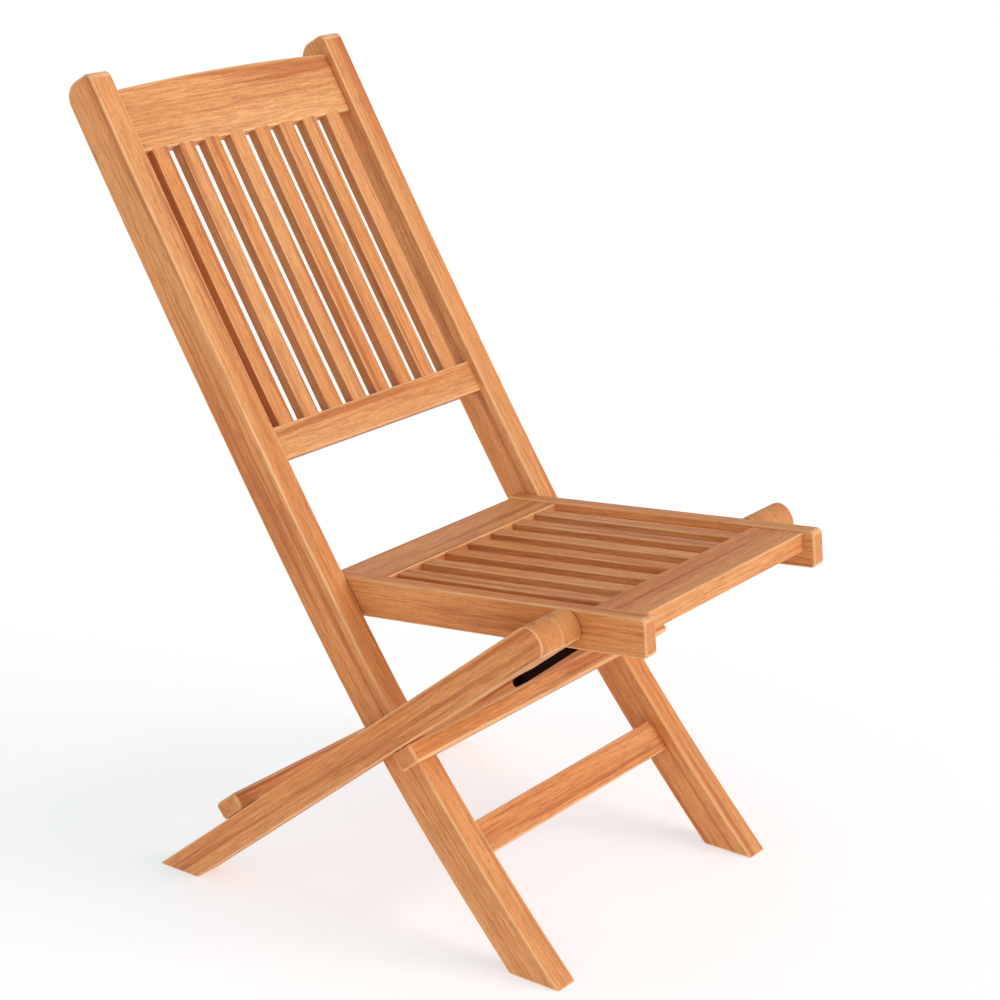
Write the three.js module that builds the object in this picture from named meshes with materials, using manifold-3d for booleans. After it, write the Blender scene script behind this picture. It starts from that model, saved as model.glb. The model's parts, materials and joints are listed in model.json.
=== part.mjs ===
// Folding slatted garden chair, stored open.
// Millimetres. X runs across the chair, the sitter looks along -Y, Z is up, the floor is Z = 0.
import * as THREE from 'three';
import Module from 'manifold-3d';

const wasm = await Module();
wasm.setup();

// Overall
const overallHeight = 890;
const gap = 0.3; // between pieces that touch or plug into each other
const edgeRound = 2.5; // softened edge on every stick

// Stiles: one curved stick each side, from the front feet to the top of the back
const stileSpan = 422.2; // outer face to outer face
const stileThick = 31.9; // across
const stileDepth = 46.3; // square to its own length
const stileFootY = -299.3; // front edge on the floor
const stileLean = [[0, 44.05], [159, 40.43], [317, 34.99], [476, 33.29], [635, 32.76], [952, 30.83]];
const stileStep = 40; // height between points of the curve
const stileTopFront = 9; // corner radii at the top
const stileTopRear = 20;
const stileOuterX = stileSpan / 2;
const stileInnerX = stileOuterX - stileThick;

// Rails of the back, set behind the stiles' front edge
const crestTopZ = 874; // on the stile's front edge
const crestHigh = 73.8;
const crestArch = 4.7;
const crestThick = 20;
const crestSetback = 9;
const lumbarTopZ = 531.4;
const lumbarHigh = 37.8;
const lumbarThick = 20;
const lumbarSetback = 7.8;
const stretcherTopZ = 146.6;
const stretcherHigh = 39;
const stretcherThick = 21;
const stretcherSetback = 15.1;
const tenonLong = 16;
const tenonThick = 10;
const tenonShoulder = 8;

// Upright slats of the back
const backSlatCount = 8;
const backSlatPitch = 42;
const backSlatWide = 24.2;
const backSlatThick = 13.6;
const backSlatSetback = 9.4;
const slatTenonLong = 10;
const slatTenonWide = 14;
const slatTenonThick = 8;

// Seat frame, tipped up towards the front
const seatRearY = 42.7; // top rear corner of the side rails
const seatRearZ = 378;
const seatTip = 6.22; // degrees
const seatRailLong = 413.2;
const seatRailHigh = 42.4;
const seatRailThick = 19.5;
const seatRailCorner = 6;
const seatSideGap = 1.1; // seat rail to stile
const seatOuterX = stileInnerX - seatSideGap;
const seatInnerX = seatOuterX - seatRailThick;
const crossDrop = 2.5; // cross rails sit below the side rails' top
const crossThick = 21;
const rearRailFrom = 2; // measured forward from the side rails' rear end
const rearRailTo = 69;
const frontRailFrom = 336;
const frontRailTo = 400;
const crossTenonLong = 12;
const crossTenonThick = 9;
const crossTenonDrop = 11; // tenon's middle below the side rails' top
const crossTenonShoulder = 8;
const seatSlatCount = 7;
const seatSlatPitch = 42.4;
const seatSlatWide = 21.4;
const seatSlatThick = 16;
const seatSlatDrop = 3.7;
const seatSlatTenonWide = 15;

// Rear legs: straight, crossing outside the stiles
const legTipY = 233.9; // top edge on the floor
const legSlope = 39.39; // degrees above the floor
const legLong = 661.5;
const legDeep = 36.7;
const legThick = 35.5;
const legSideGap = 1.1; // leg to stile
const legInnerX = stileOuterX + legSideGap;
const legOuterX = legInnerX + legThick;
const blockSideGap = 1.1; // seat rail to spacer block
const blockFrom = 578; // spacer block at the leg's top end, measured up the leg
const stopRailFrom = 402;
const stopRailLong = 28.6;
const stopRailThick = 22.6;
const stopRailInset = 6;
const rearBarFrom = 127.8;
const rearBarLong = 35.2;
const rearBarThick = 20.8;
const rearBarInset = 3.2;
const barCorner = 4;

// Pivots
const seatPivotFore = 27; // seat rail on stile, forward of the rail's rear end
const seatPivotBelow = 22.4; // below the seat rail's top edge
const seatPinInRail = 14;
const seatPinInStile = 21;
const pivotRadius = 4;
const boltHeadRadius = 7;
const boltHeadThick = 4.5;
const boltHeadRoom = 8.5;
const boltHeadSunk = 5.5;
const washerRadius = 10;
const washerThick = 0.5;
const insertRadius = 6.5;
const legBoltReach = 18; // into the leg
const insertLong = 18;
const legPivotAlong = 638.3; // up the leg
const guidePinAlong = 388;
const guidePinRadius = 5;
const guidePinSunk = 20;
const guidePinProud = 0.6;
const grooveRadius = 6;
const grooveDeep = 14;
const grooveLowAlong = 206.5; // guide pin's centre when the chair is folded
const dowelRadius = 4;
const dowelInLeg = 18;
const dowelInBar = 13;
const dowelSpread = 14; // between the two dowels of a joint
const roundSides = 24;

const teak = { color: 0xc98a55, roughness: 0.55, metalness: 0 };
const steel = { color: 0xb9bcc0, roughness: 0.35, metalness: 1 };
const brass = { color: 0xc8a24a, roughness: 0.4, metalness: 1 };
const nylon = { color: 0xe9e6dc, roughness: 0.6, metalness: 0 };
const beech = { color: 0xdcc29a, roughness: 0.7, metalness: 0 };

const group = new THREE.Group();
group.name = 'folding_garden_chair';
const rad = THREE.MathUtils.degToRad;

// ---- solids ----

function toSolid(geometry) {
  const plain = geometry.index ? geometry.toNonIndexed() : geometry;
  const source = plain.getAttribute('position').array;
  const seen = new Map();
  const verts = [];
  const tris = [];
  for (let i = 0; i < source.length; i += 3) {
    const point = [source[i], source[i + 1], source[i + 2]];
    const key = point.map((value) => Math.round(value * 1e4)).join();
    if (!seen.has(key)) {
      seen.set(key, verts.length / 3);
      verts.push(...point);
    }
    tris.push(seen.get(key));
  }
  const kept = [];
  for (let i = 0; i < tris.length; i += 3) {
    const [a, b, c] = tris.slice(i, i + 3);
    if (a !== b && b !== c && a !== c) kept.push(a, b, c);
  }
  const mesh = new wasm.Mesh({
    numProp: 3,
    vertProperties: new Float32Array(verts),
    triVerts: new Uint32Array(kept),
  });
  return new wasm.Manifold(mesh);
}

function addPiece(name, solid, finish) {
  const mesh = solid.getMesh();
  const geometry = new THREE.BufferGeometry();
  geometry.setAttribute('position', new THREE.BufferAttribute(Float32Array.from(mesh.vertProperties), 3));
  geometry.setIndex(new THREE.BufferAttribute(Uint32Array.from(mesh.triVerts), 1));
  const faceted = geometry.toNonIndexed();
  faceted.computeVertexNormals();
  const piece = new THREE.Mesh(faceted, new THREE.MeshStandardMaterial(finish));
  piece.name = name;
  group.add(piece);
}

// A flat outline pushed out by `thick`, with softened edges all round.
function slab(points, thick, round) {
  const shape = new THREE.Shape(points.map(([a, b]) => new THREE.Vector2(a, b)));
  const geometry = new THREE.ExtrudeGeometry(shape, {
    depth: thick - 2 * round,
    bevelEnabled: round > 0,
    bevelThickness: round,
    bevelSize: round,
    bevelOffset: -round,
    bevelSegments: 2,
    curveSegments: 6,
  });
  geometry.translate(0, 0, round);
  return geometry;
}

// Side outline (Y, Z) pushed out across the chair, from x0 to x1.
function sideSlab(points, x0, x1, round = edgeRound) {
  const geometry = slab(points, x1 - x0, round);
  geometry.applyMatrix4(new THREE.Matrix4().makeBasis(
    new THREE.Vector3(0, 1, 0), new THREE.Vector3(0, 0, 1), new THREE.Vector3(1, 0, 0)));
  geometry.translate(x0, 0, 0);
  return toSolid(geometry);
}

// Corners of a rectangle in a tilted side frame, each replaced by a short arc.
function roundedOutline(corners, radii, steps = 3) {
  const out = [];
  corners.forEach((corner, i) => {
    const radius = radii[i];
    const prev = corners[(i + corners.length - 1) % corners.length];
    const next = corners[(i + 1) % corners.length];
    const here = new THREE.Vector2(...corner);
    if (!radius) {
      out.push(corner);
      return;
    }
    const toPrev = new THREE.Vector2(...prev).sub(here).normalize();
    const toNext = new THREE.Vector2(...next).sub(here).normalize();
    const half = Math.acos(THREE.MathUtils.clamp(toPrev.dot(toNext), -1, 1)) / 2;
    const run = radius / Math.tan(half);
    const inward = toPrev.clone().add(toNext).normalize();
    const centre = here.clone().addScaledVector(inward, radius / Math.sin(half));
    const from = here.clone().addScaledVector(toPrev, run).sub(centre);
    const to = here.clone().addScaledVector(toNext, run).sub(centre);
    const sweep = Math.atan2(from.x * to.y - from.y * to.x, from.dot(to));
    for (let k = 0; k <= steps; k += 1) {
      const spoke = from.clone().rotateAround(new THREE.Vector2(), sweep * k / steps);
      out.push([centre.x + spoke.x, centre.y + spoke.y]);
    }
  });
  return out;
}

// A box given by ranges along three unit directions from an origin in the side plane.
function framedBox(frame, x, along, up) {
  const corners = [[along[0], up[0]], [along[1], up[0]], [along[1], up[1]], [along[0], up[1]]];
  return sideSlab(corners.map(([a, b]) => frame(a, b)), x[0], x[1], 0);
}

// A rod along X.
function rodX(y, z, radius, x0, x1) {
  const geometry = new THREE.CylinderGeometry(radius, radius, x1 - x0, roundSides);
  geometry.rotateZ(-Math.PI / 2);
  geometry.translate((x0 + x1) / 2, y, z);
  return toSolid(geometry);
}

// A rod in the side plane, from one point to another at a given x.
function rodSide(x, from, to, radius) {
  const start = new THREE.Vector3(x, ...from);
  const end = new THREE.Vector3(x, ...to);
  const geometry = new THREE.CylinderGeometry(radius, radius, start.distanceTo(end), roundSides);
  const turn = new THREE.Quaternion().setFromUnitVectors(
    new THREE.Vector3(0, 1, 0), end.clone().sub(start).normalize());
  geometry.applyQuaternion(turn);
  geometry.translate(...start.add(end).multiplyScalar(0.5).toArray());
  return toSolid(geometry);
}

const flip = (solid) => solid.mirror([1, 0, 0]);
const sides = [['left', (solid) => solid], ['right', flip]];

// ---- frames of reference ----

function leanAt(z) {
  const last = stileLean.findIndex(([height]) => height > z);
  const [z0, lean0] = stileLean[Math.max(last - 1, 0)];
  const [z1, lean1] = stileLean[Math.max(last, 1)];
  return rad(lean0 + (lean1 - lean0) * (z - z0) / (z1 - z0));
}

// The stiles' front edge, integrated up from the floor.
function frontY(z) {
  const steps = 60;
  let y = stileFootY;
  for (let i = 0; i < steps; i += 1) y += Math.tan(leanAt(z * (i + 0.5) / steps)) * z / steps;
  return y;
}

// Side frame on the stile: `back` runs square to the front edge, `up` along it.
function stileFrame(z) {
  const lean = leanAt(z);
  const y = frontY(z);
  return (back, up) => [
    y + back * Math.cos(lean) + up * Math.sin(lean),
    z - back * Math.sin(lean) + up * Math.cos(lean),
  ];
}

// Side frame on the seat: `fore` runs forward from the rear end, `up` is square to it.
const tip = rad(seatTip);
const seatFrame = (fore, up) => [
  seatRearY - fore * Math.cos(tip) + up * Math.sin(tip),
  seatRearZ + fore * Math.sin(tip) + up * Math.cos(tip),
];

// Side frame on the legs: `along` runs up the leg from its tip, `up` is square to it.
const slope = rad(legSlope);
const legFrame = (along, up) => [
  legTipY - along * Math.cos(slope) + up * Math.sin(slope),
  along * Math.sin(slope) + up * Math.cos(slope),
];
const grooveUp = -legDeep / 2;

const seatPivot = seatFrame(seatPivotFore, -seatPivotBelow);
const legPivot = legFrame(legPivotAlong, grooveUp);
const guidePin = legFrame(guidePinAlong, grooveUp);

// ---- tenons and mortises ----

// A tenon box and the mortise that takes it, one solid each.
function tenonPair(frame, x, along, up) {
  const loose = ([low, high]) => [low - gap, high + gap];
  return {
    tenon: framedBox(frame, x, along, up),
    mortise: framedBox(frame, loose(x), loose(along), loose(up)),
  };
}

// ---- back frame ----

function stileOutline() {
  const frontTop = overallHeight + 0.372 * stileTopFront;
  const heights = [];
  for (let z = stileStep; z < frontTop - stileStep / 2; z += stileStep) heights.push(z);
  const front = heights.map((z) => [frontY(z), z]);
  const back = heights.map((z) => stileFrame(z)(stileDepth, 0));
  const top = stileFrame(frontTop);
  const floorLean = leanAt(0);
  const floorRear = [stileFootY + stileDepth / Math.cos(floorLean), 0];
  const corners = [
    [stileFootY, 0],
    floorRear,
    ...back,
    top(stileDepth, 0),
    top(0, 0),
    ...front.reverse(),
  ];
  const radii = corners.map(() => 0);
  radii[0] = 4;
  radii[back.length + 2] = stileTopRear;
  radii[back.length + 3] = stileTopFront;
  return roundedOutline(corners, radii, 5);
}

function crossRail(frame, thick, high, setback, arch, tenonHigh) {
  const half = stileInnerX - gap;
  const low = [-high, 0];
  const outline = [[-half, low[0]], [half, low[0]]];
  const steps = arch ? 12 : 1;
  for (let i = 0; i <= steps; i += 1) {
    const x = half * (1 - 2 * i / steps);
    outline.push([x, arch * (1 - (x / half) ** 2)]);
  }
  const geometry = slab(outline, thick, edgeRound);
  const [y0, z0] = frame(setback + thick, 0);
  const [yu, zu] = frame(setback + thick, 1);
  const [yf, zf] = frame(setback + thick - 1, 0);
  geometry.applyMatrix4(new THREE.Matrix4().makeBasis(
    new THREE.Vector3(1, 0, 0),
    new THREE.Vector3(0, yu - y0, zu - z0),
    new THREE.Vector3(0, yf - y0, zf - z0)));
  geometry.translate(0, y0, z0);
  const middle = setback + thick / 2;
  const joint = tenonPair(
    frame,
    [half - 4, stileInnerX + tenonLong],
    [middle - tenonThick / 2, middle + tenonThick / 2],
    tenonHigh);
  return {
    rail: toSolid(geometry).add(joint.tenon).add(flip(joint.tenon)),
    mortise: joint.mortise,
  };
}

const crestFrame = stileFrame(crestTopZ);
const lumbarFrame = stileFrame(lumbarTopZ);
const stretcherFrame = stileFrame(stretcherTopZ);
const shoulders = (high) => [tenonShoulder - high, -tenonShoulder];
const crest = crossRail(crestFrame, crestThick, crestHigh, crestSetback, crestArch, shoulders(crestHigh));
const lumbar = crossRail(lumbarFrame, lumbarThick, lumbarHigh, lumbarSetback, 0, shoulders(lumbarHigh));
const stretcher = crossRail(
  stretcherFrame, stretcherThick, stretcherHigh, stretcherSetback, 0, shoulders(stretcherHigh));

// Upright slats follow the stiles' curve between the two rails.
const slatLowZ = lumbarTopZ;
const crestUnderZ = crestTopZ - crestHigh * Math.cos(leanAt(crestTopZ));

function backSlatOutline() {
  const low = stileFrame(slatLowZ);
  const high = stileFrame(crestUnderZ);
  const rows = [];
  const steps = 6;
  for (let i = 1; i < steps; i += 1) {
    rows.push(stileFrame(slatLowZ + (crestUnderZ - slatLowZ) * i / steps));
  }
  const rear = backSlatSetback + backSlatThick;
  return [
    low(backSlatSetback, gap),
    low(rear, gap),
    ...rows.map((row) => row(rear, 0)),
    high(rear, -gap),
    high(backSlatSetback, -gap),
    ...rows.map((row) => row(backSlatSetback, 0)).reverse(),
  ];
}

const slatOutline = backSlatOutline();
const slatMiddle = backSlatSetback + backSlatThick / 2;
const slatDepth = [slatMiddle - slatTenonThick / 2, slatMiddle + slatTenonThick / 2];
let crestSolid = crest.rail;
let lumbarSolid = lumbar.rail;
for (let i = 0; i < backSlatCount; i += 1) {
  const x = (i - (backSlatCount - 1) / 2) * backSlatPitch;
  const wide = [x - slatTenonWide / 2, x + slatTenonWide / 2];
  const foot = tenonPair(lumbarFrame, wide, slatDepth, [-slatTenonLong, 4]);
  const head = tenonPair(stileFrame(crestUnderZ), wide, slatDepth, [-4, slatTenonLong]);
  const body = sideSlab(slatOutline, x - backSlatWide / 2, x + backSlatWide / 2, 2);
  addPiece(`back_slat_${i + 1}`, body.add(foot.tenon).add(head.tenon), teak);
  crestSolid = crestSolid.subtract(head.mortise);
  lumbarSolid = lumbarSolid.subtract(foot.mortise);
}
addPiece('crest_rail', crestSolid, teak);
addPiece('lumbar_rail', lumbarSolid, teak);
addPiece('front_stretcher', stretcher.rail, teak);

const seatPinHole = rodX(...seatPivot, pivotRadius + gap,
  seatOuterX - seatPinInRail - gap, stileInnerX + seatPinInStile + gap);
const guideHole = rodX(...guidePin, guidePinRadius + gap, stileOuterX - guidePinSunk - gap, stileOuterX + 1);
const stile = sideSlab(stileOutline(), stileInnerX, stileOuterX)
  .subtract(crest.mortise)
  .subtract(lumbar.mortise)
  .subtract(stretcher.mortise)
  .subtract(seatPinHole)
  .subtract(guideHole);

// ---- seat ----

function seatRailOutline() {
  const corners = [
    seatFrame(0, -seatRailHigh),
    seatFrame(0, 0),
    seatFrame(seatRailLong, 0),
    seatFrame(seatRailLong, -seatRailHigh),
  ];
  return roundedOutline(corners.reverse(), [seatRailCorner, seatRailCorner, 3, 3]);
}

function seatCross(from, to) {
  const half = seatInnerX - gap;
  const top = -crossDrop;
  const corners = [[to, top - crossThick], [to, top], [from, top], [from, top - crossThick]];
  const outline = roundedOutline(corners.map(([a, b]) => seatFrame(a, b)), [2, 2, 2, 2], 2);
  const joint = tenonPair(
    seatFrame,
    [half - 4, seatInnerX + crossTenonLong],
    [from + crossTenonShoulder, to - crossTenonShoulder],
    [-crossTenonDrop - crossTenonThick / 2, -crossTenonDrop + crossTenonThick / 2]);
  return {
    rail: sideSlab(outline.reverse(), -half, half, 0.6).add(joint.tenon).add(flip(joint.tenon)),
    mortise: joint.mortise,
  };
}

const rearCross = seatCross(rearRailFrom, rearRailTo);
const frontCross = seatCross(frontRailFrom, frontRailTo);
let rearCrossSolid = rearCross.rail;
let frontCrossSolid = frontCross.rail;
const slatUp = [
  -seatSlatDrop - (seatSlatThick + slatTenonThick) / 2,
  -seatSlatDrop - (seatSlatThick - slatTenonThick) / 2,
];
const slatCorners = [
  [frontRailFrom - gap, -seatSlatDrop - seatSlatThick],
  [frontRailFrom - gap, -seatSlatDrop],
  [rearRailTo + gap, -seatSlatDrop],
  [rearRailTo + gap, -seatSlatDrop - seatSlatThick],
].reverse().map(([a, b]) => seatFrame(a, b));
for (let i = 0; i < seatSlatCount; i += 1) {
  const x = (i - (seatSlatCount - 1) / 2) * seatSlatPitch;
  const wide = [x - seatSlatTenonWide / 2, x + seatSlatTenonWide / 2];
  const rear = tenonPair(seatFrame, wide, [rearRailTo - slatTenonLong, rearRailTo + 4], slatUp);
  const front = tenonPair(seatFrame, wide, [frontRailFrom - 4, frontRailFrom + slatTenonLong], slatUp);
  const body = sideSlab(slatCorners, x - seatSlatWide / 2, x + seatSlatWide / 2, 1.8);
  addPiece(`seat_slat_${i + 1}`, body.add(rear.tenon).add(front.tenon), teak);
  rearCrossSolid = rearCrossSolid.subtract(rear.mortise);
  frontCrossSolid = frontCrossSolid.subtract(front.mortise);
}
addPiece('seat_rear_rail', rearCrossSolid, teak);
addPiece('seat_front_rail', frontCrossSolid, teak);

// The leg bolt's passage through a seat rail: a clear hole with room for the sunk head.
const legBoltPassage = rodX(...legPivot, pivotRadius + gap, seatInnerX - 1, seatOuterX + 1)
  .add(rodX(...legPivot, boltHeadRoom, seatInnerX - 1, seatInnerX + boltHeadSunk));

const seatRail = sideSlab(seatRailOutline(), seatInnerX, seatOuterX, 2)
  .subtract(rearCross.mortise)
  .subtract(frontCross.mortise)
  .subtract(seatPinHole)
  .subtract(legBoltPassage);

// ---- legs ----

// The leg's top end: a shallow arc with softened corners.
const legEnd = [
  [legLong - 14, 0],
  [legLong - 7.5, -2.2],
  [legLong - 2.5, -7.5],
  [legLong, -15],
  [legLong - 0.4, -24],
  [legLong - 3.6, -31.5],
  [legLong - 9, -legDeep],
];
const legFootRun = legDeep / Math.tan(slope);
const legOutline = roundedOutline([
  [0, 0],
  ...legEnd,
  [legFootRun, -legDeep],
].map(([a, b]) => legFrame(a, b)).reverse(), [4, ...legEnd.map(() => 0), 0]);
const blockOutline = roundedOutline([
  [blockFrom, 0],
  ...legEnd,
  [blockFrom, -legDeep],
].map(([a, b]) => legFrame(a, b)).reverse(), [1.5, ...legEnd.map(() => 0), 1.5]);

function bar(from, long, under, thick, inset) {
  const corners = [
    legFrame(from, under - thick),
    legFrame(from, under),
    legFrame(from + long, under),
    legFrame(from + long, under - thick),
  ];
  const outline = roundedOutline(corners.reverse(), [barCorner, barCorner, barCorner, barCorner]);
  const half = legOuterX - inset;
  return sideSlab(outline, -half, half);
}

let stopRail = bar(stopRailFrom, stopRailLong, -legDeep - gap, stopRailThick, stopRailInset);
let rearBar = bar(rearBarFrom, rearBarLong, rearBarThick + gap, rearBarThick, rearBarInset);

const groove = framedBox(legFrame, [legInnerX - 1, legInnerX + grooveDeep],
  [grooveLowAlong, guidePinAlong], [grooveUp - grooveRadius, grooveUp + grooveRadius])
  .add(rodX(...legFrame(grooveLowAlong, grooveUp), grooveRadius, legInnerX - 1, legInnerX + grooveDeep))
  .add(rodX(...guidePin, grooveRadius, legInnerX - 1, legInnerX + grooveDeep));
const legBoltHole = rodX(...legPivot, insertRadius + gap, legInnerX - 1, legInnerX + legBoltReach + 2);
let leg = sideSlab(legOutline, legInnerX, legOuterX).subtract(groove).subtract(legBoltHole);
const block = sideSlab(blockOutline, seatOuterX + blockSideGap, legInnerX - gap, 1)
  .subtract(rodX(...legPivot, pivotRadius + gap, seatOuterX, legInnerX));

// Dowels that hold the stop rail and the rear bar to the legs.
const dowelX = (legInnerX + legOuterX) / 2;
const barJoints = [
  ['stop', stopRailFrom + stopRailLong / 2, -legDeep, -1],
  ['rear', rearBarFrom + rearBarLong / 2, 0, 1],
];
for (const [joint, along, face, out] of barJoints) {
  [-1, 1].forEach((half, k) => {
    const x = dowelX + half * dowelSpread / 2;
    const inLeg = face - out * dowelInLeg;
    const inBar = face + out * dowelInBar;
    const dowel = rodSide(x, legFrame(along, inLeg), legFrame(along, inBar), dowelRadius);
    const hole = rodSide(x, legFrame(along, inLeg - out * gap), legFrame(along, inBar + out * gap),
      dowelRadius + gap);
    leg = leg.subtract(hole);
    if (joint === 'stop') stopRail = stopRail.subtract(hole).subtract(flip(hole));
    else rearBar = rearBar.subtract(hole).subtract(flip(hole));
    for (const [side, place] of sides) addPiece(`${joint}_dowel_${k + 1}_${side}`, place(dowel), beech);
  });
}
addPiece('stop_rail', stopRail, teak);
addPiece('rear_bar', rearBar, teak);

// ---- pivots ----

const seatPin = rodX(...seatPivot, pivotRadius, seatOuterX - seatPinInRail, stileInnerX + seatPinInStile);
const headFace = seatInnerX + boltHeadSunk - gap;
const legBolt = rodX(...legPivot, pivotRadius, headFace - 1, legInnerX + legBoltReach)
  .add(rodX(...legPivot, boltHeadRadius, headFace - boltHeadThick, headFace));
const insertMouth = legInnerX + gap;
const legInsert = rodX(...legPivot, insertRadius, insertMouth, insertMouth + insertLong)
  .subtract(rodX(...legPivot, pivotRadius + gap, insertMouth - 1, insertMouth + insertLong + 1));
const guide = rodX(...guidePin, guidePinRadius, stileOuterX - guidePinSunk, stileOuterX + guidePinProud);

function washer([y, z], from, to) {
  const middle = (from + to) / 2;
  return rodX(y, z, washerRadius, middle - washerThick / 2, middle + washerThick / 2)
    .subtract(rodX(y, z, pivotRadius + gap, from - 1, to + 1));
}

const seatWasher = washer(seatPivot, seatOuterX, stileInnerX);
const legWasher = washer(legPivot, seatOuterX, seatOuterX + blockSideGap);

for (const [side, place] of sides) {
  addPiece(`stile_${side}`, place(stile), teak);
  addPiece(`seat_rail_${side}`, place(seatRail), teak);
  addPiece(`rear_leg_${side}`, place(leg), teak);
  addPiece(`spacer_block_${side}`, place(block), teak);
  addPiece(`seat_pin_${side}`, place(seatPin), steel);
  addPiece(`seat_washer_${side}`, place(seatWasher), nylon);
  addPiece(`leg_bolt_${side}`, place(legBolt), steel);
  addPiece(`leg_insert_${side}`, place(legInsert), brass);
  addPiece(`leg_washer_${side}`, place(legWasher), nylon);
  addPiece(`guide_pin_${side}`, place(guide), steel);
}

export default group;
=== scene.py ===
import json
import math
import random

import bmesh
import bpy
import numpy as np
from mathutils import Matrix, Vector


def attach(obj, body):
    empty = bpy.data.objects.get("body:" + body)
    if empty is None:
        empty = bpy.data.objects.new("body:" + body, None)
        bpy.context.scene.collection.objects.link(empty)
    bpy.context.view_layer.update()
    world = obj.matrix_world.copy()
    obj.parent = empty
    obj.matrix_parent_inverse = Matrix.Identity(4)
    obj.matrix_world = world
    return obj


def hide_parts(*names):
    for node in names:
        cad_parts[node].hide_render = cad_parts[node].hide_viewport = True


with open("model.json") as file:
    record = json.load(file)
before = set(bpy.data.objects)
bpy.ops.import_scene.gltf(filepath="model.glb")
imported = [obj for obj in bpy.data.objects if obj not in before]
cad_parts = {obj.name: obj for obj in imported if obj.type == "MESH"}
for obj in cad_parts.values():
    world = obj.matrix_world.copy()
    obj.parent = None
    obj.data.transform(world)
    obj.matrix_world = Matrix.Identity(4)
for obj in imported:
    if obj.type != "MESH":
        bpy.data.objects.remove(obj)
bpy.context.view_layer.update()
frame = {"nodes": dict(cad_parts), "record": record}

# Folding garden chair in oiled teak, stored open.
# Sizes are in millimetres until a piece is put in its place, then metres.

scene = bpy.context.scene
mm = 0.001

# The same frames of reference that the chair was drawn on.
stileCurve = {
    "footY": -299.3,  # front edge on the floor
    "lean": [(0, 44.05), (159, 40.43), (317, 34.99), (476, 33.29), (635, 32.76), (952, 30.83)],
}
seatLie = {"rearY": 42.7, "rearZ": 378.0, "tip": 6.22}
legLie = {"tipY": 233.9, "slope": 39.39}

across = {
    "stileOuter": 211.1,
    "stileInner": 179.2,
    "seatOuter": 178.1,
    "seatInner": 158.6,
    "legInner": 212.2,
    "legOuter": 247.7,
}


def leanAt(z):
    heights = [h for h, lean in stileCurve["lean"]]
    leans = [lean for h, lean in stileCurve["lean"]]
    return math.radians(float(np.interp(z, heights, leans)))


def frontY(z):
    steps = 60
    y = stileCurve["footY"]
    for i in range(steps):
        y += math.tan(leanAt(z * (i + 0.5) / steps)) * z / steps
    return y


def stileFrame(z):
    lean, y = leanAt(z), frontY(z)
    return lambda back, up: (
        y + back * math.cos(lean) + up * math.sin(lean),
        z - back * math.sin(lean) + up * math.cos(lean),
    )


def seatFrame(fore, up):
    tip = math.radians(seatLie["tip"])
    return (
        seatLie["rearY"] - fore * math.cos(tip) + up * math.sin(tip),
        seatLie["rearZ"] + fore * math.sin(tip) + up * math.cos(tip),
    )


def legFrame(along, up):
    slope = math.radians(legLie["slope"])
    return (
        legLie["tipY"] - along * math.cos(slope) + up * math.sin(slope),
        along * math.sin(slope) + up * math.cos(slope),
    )


def newGroup(name, inputs, outputs):
    group = bpy.data.node_groups.new(name, "ShaderNodeTree")
    for socket, kind, value in inputs:
        made = group.interface.new_socket(socket, in_out="INPUT", socket_type=kind)
        if value is not None:
            made.default_value = value
    for socket, kind in outputs:
        group.interface.new_socket(socket, in_out="OUTPUT", socket_type=kind)
    return group, group.nodes.new("NodeGroupInput"), group.nodes.new("NodeGroupOutput")


def workOut(tree, operation, a, b=None, clamp=False):
    node = tree.nodes.new("ShaderNodeMath")
    node.operation = operation
    node.use_clamp = clamp
    for socket, value in zip(node.inputs, (a, b)):
        if isinstance(value, (int, float)):
            socket.default_value = value
        elif value is not None:
            tree.links.new(value, socket)
    return node.outputs[0]


def mixColour(tree, factor, a, b, blend="MIX"):
    node = tree.nodes.new("ShaderNodeMix")
    node.data_type = "RGBA"
    node.blend_type = blend
    for index, value in ((0, factor), (6, a), (7, b)):
        if hasattr(value, "is_linked"):
            tree.links.new(value, node.inputs[index])
        elif index == 0:
            node.inputs[index].default_value = value
        else:
            node.inputs[index].default_value = (*value, 1)
    return node.outputs[2]


def spread(tree, value, low, high, toLow=0.0, toHigh=1.0):
    node = tree.nodes.new("ShaderNodeMapRange")
    node.interpolation_type = "SMOOTHSTEP"
    tree.links.new(value, node.inputs["Value"])
    for socket, number in zip(("From Min", "From Max", "To Min", "To Max"), (low, high, toLow, toHigh)):
        node.inputs[socket].default_value = number
    return node.outputs["Result"]


def stretchedNoise(tree, vector, scale, detail=3.0, rough=0.55, distortion=0.0):
    mapping = tree.nodes.new("ShaderNodeMapping")
    mapping.inputs["Scale"].default_value = scale
    tree.links.new(vector, mapping.inputs["Vector"])
    noise = tree.nodes.new("ShaderNodeTexNoise")
    noise.inputs["Scale"].default_value = 1.0
    noise.inputs["Detail"].default_value = detail
    noise.inputs["Roughness"].default_value = rough
    noise.inputs["Distortion"].default_value = distortion
    tree.links.new(mapping.outputs["Vector"], noise.inputs["Vector"])
    return noise.outputs["Fac"]


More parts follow.
